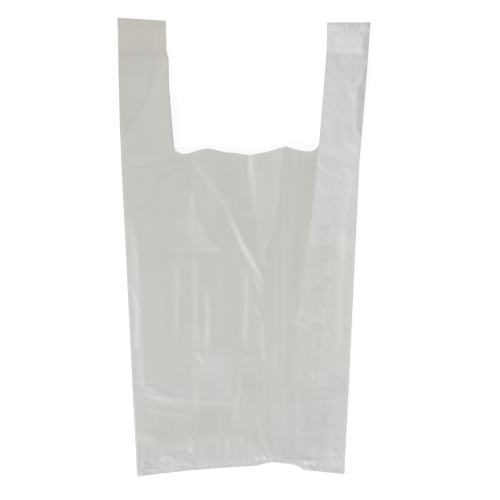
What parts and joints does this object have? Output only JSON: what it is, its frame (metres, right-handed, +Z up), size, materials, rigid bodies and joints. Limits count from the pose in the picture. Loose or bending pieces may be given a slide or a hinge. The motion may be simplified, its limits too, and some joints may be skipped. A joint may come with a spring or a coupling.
{
  "type": "tie-handle bin bag",
  "caption": "Vest-shaped bin bag of thin pale film with pleated sides, a sealed foot, an open wavy mouth and loop handles for tying, lying flat.",
  "frame": {"origin": "centre of the bag's outline, on the surface that its back lies on", "axes": "+X across the bag, +Y up the bag from its sealed foot to its handles, +Z up from the surface, out of the front film"},
  "size_m": [0.305, 0.5514, 0.0146],
  "materials": {
    "film": "thin milky film, satin sheen"
  },
  "bodies": {
    "root": {"bin_bag": "film"}
  },
  "joints": []
}
